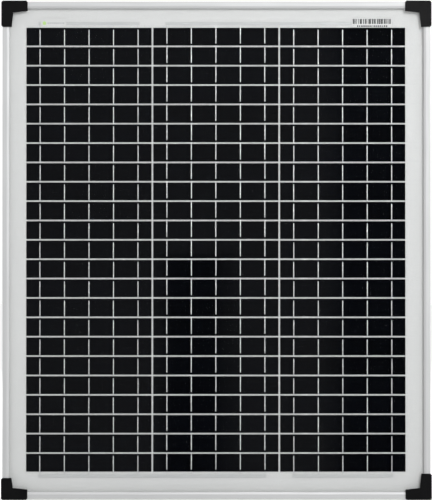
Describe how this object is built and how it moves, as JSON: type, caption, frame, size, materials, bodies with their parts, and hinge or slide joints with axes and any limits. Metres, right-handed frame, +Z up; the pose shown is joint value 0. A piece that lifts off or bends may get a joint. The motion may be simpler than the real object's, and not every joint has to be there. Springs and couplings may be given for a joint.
{
  "type": "solar panel",
  "caption": "Framed glass solar panel with black corner caps, white backing, dark cell strips and a rear junction box with hinged lid.",
  "frame": {"origin": "centre of the rectangle of the four rear mounting holes, on the rear plane of the frame's flanges", "axes": "+Z up along the panel's height, +X to the right as seen from the glass side, +Y out of the back; the glass faces -Y"},
  "size_m": [0.543, 0.0315, 0.63],
  "materials": {
    "anodised_frame": "clear anodised, fine extrusion lines",
    "cast_key": "as cast",
    "cap_plastic": "moulded, fine satin texture",
    "edge_foam": "closed-cell foam tape",
    "solar_glass": "low-iron tempered, smooth",
    "encapsulant": "cured clear film",
    "silicon": "dark textured silicon with fine printed fingers",
    "tinned_ribbon": "tinned copper, soft sheen",
    "tinned_bus": "tinned copper, matte",
    "insulation_film": "white film",
    "rear_sheet": "white film, faint texture",
    "printed_film": "white film with plain printed marks",
    "label_paper": "matt silver-grey label with plain rules",
    "box_plastic": "moulded, fine texture",
    "white_silicone": "cured sealant",
    "black_rubber": "moulded",
    "zinc_steel": "zinc plated",
    "tinned_plate": "tinned copper strip",
    "clamp_brass": "nickel-free brass, turned",
    "diode_epoxy": "moulded epoxy with a pale band",
    "vent_plastic": "moulded",
    "gland_nylon": "moulded nylon"
  },
  "bodies": {
    "panel": {"frame_rail_left": "anodised_frame", "frame_rail_right": "anodised_frame", "frame_rail_top": "anodised_frame", "frame_rail_bottom": "anodised_frame", "corner_key_top_left": "cast_key", "corner_key_top_right": "cast_key", "corner_key_bottom_left": "cast_key", "corner_key_bottom_right": "cast_key", "corner_cap_top_left": "cap_plastic", "corner_cap_top_right": "cap_plastic", "corner_cap_bottom_left": "cap_plastic", "corner_cap_bottom_right": "cap_plastic", "edge_seal": "edge_foam", "front_glass": "solar_glass", "front_encapsulant": "encapsulant", "cell_string_left": "silicon", "cell_string_middle": "silicon", "cell_string_right": "silicon", "ribbons_left": "tinned_ribbon", "ribbons_middle": "tinned_ribbon", "ribbons_right": "tinned_ribbon", "top_bus_ribbons": "tinned_bus", "bottom_bus_ribbons": "tinned_bus", "output_leads": "tinned_ribbon", "lead_insulation": "insulation_film", "rear_encapsulant": "encapsulant", "rear_sheet": "rear_sheet", "serial_strip": "printed_film", "maker_strip": "printed_film", "rating_label": "label_paper", "junction_box_base": "box_plastic", "junction_box_adhesive": "white_silicone", "junction_box_gasket": "black_rubber", "lid_hinge_pins": "zinc_steel", "terminal_plates": "tinned_plate", "terminal_clamps": "clamp_brass", "terminal_screws": "zinc_steel", "bypass_diodes": "diode_epoxy", "vent_plug": "vent_plastic", "gland_body_left": "gland_nylon", "gland_body_right": "gland_nylon", "gland_washers": "black_rubber", "gland_seal_left": "black_rubber", "gland_seal_right": "black_rubber"},
    "lid": {"junction_box_lid": "box_plastic"},
    "claw_left": {"gland_claw_left": "gland_nylon"},
    "claw_right": {"gland_claw_right": "gland_nylon"},
    "nut_left": {"gland_nut_left": "gland_nylon"},
    "nut_right": {"gland_nut_right": "gland_nylon"}
  },
  "joints": [
    {"name": "lid_hinge", "type": "hinge", "parent": "panel", "child": "lid", "pos_m": [0, -0.0052, 0.2576], "axis": [1, 0, 0], "range_deg": [0, 105]},
    {"name": "nut_travel_left", "type": "slide", "parent": "panel", "child": "claw_left", "axis": [0, 0, -1], "range_m": [0, 0.00305]},
    {"name": "nut_turn_left", "type": "hinge", "parent": "claw_left", "child": "nut_left", "pos_m": [-0.024, -0.0132, 0.168], "axis": [0, 0, -1], "range_deg": [0, 720]},
    {"name": "nut_travel_right", "type": "slide", "parent": "panel", "child": "claw_right", "axis": [0, 0, -1], "range_m": [0, 0.00305]},
    {"name": "nut_turn_right", "type": "hinge", "parent": "claw_right", "child": "nut_right", "pos_m": [0.024, -0.0132, 0.168], "axis": [0, 0, -1], "range_deg": [0, 720]}
  ],
  "couplings": [
    {"joint": "nut_travel_left", "follows": "nut_turn_left", "m_per_rad": 0.00023873},
    {"joint": "nut_travel_right", "follows": "nut_turn_right", "m_per_rad": 0.00023873}
  ]
}
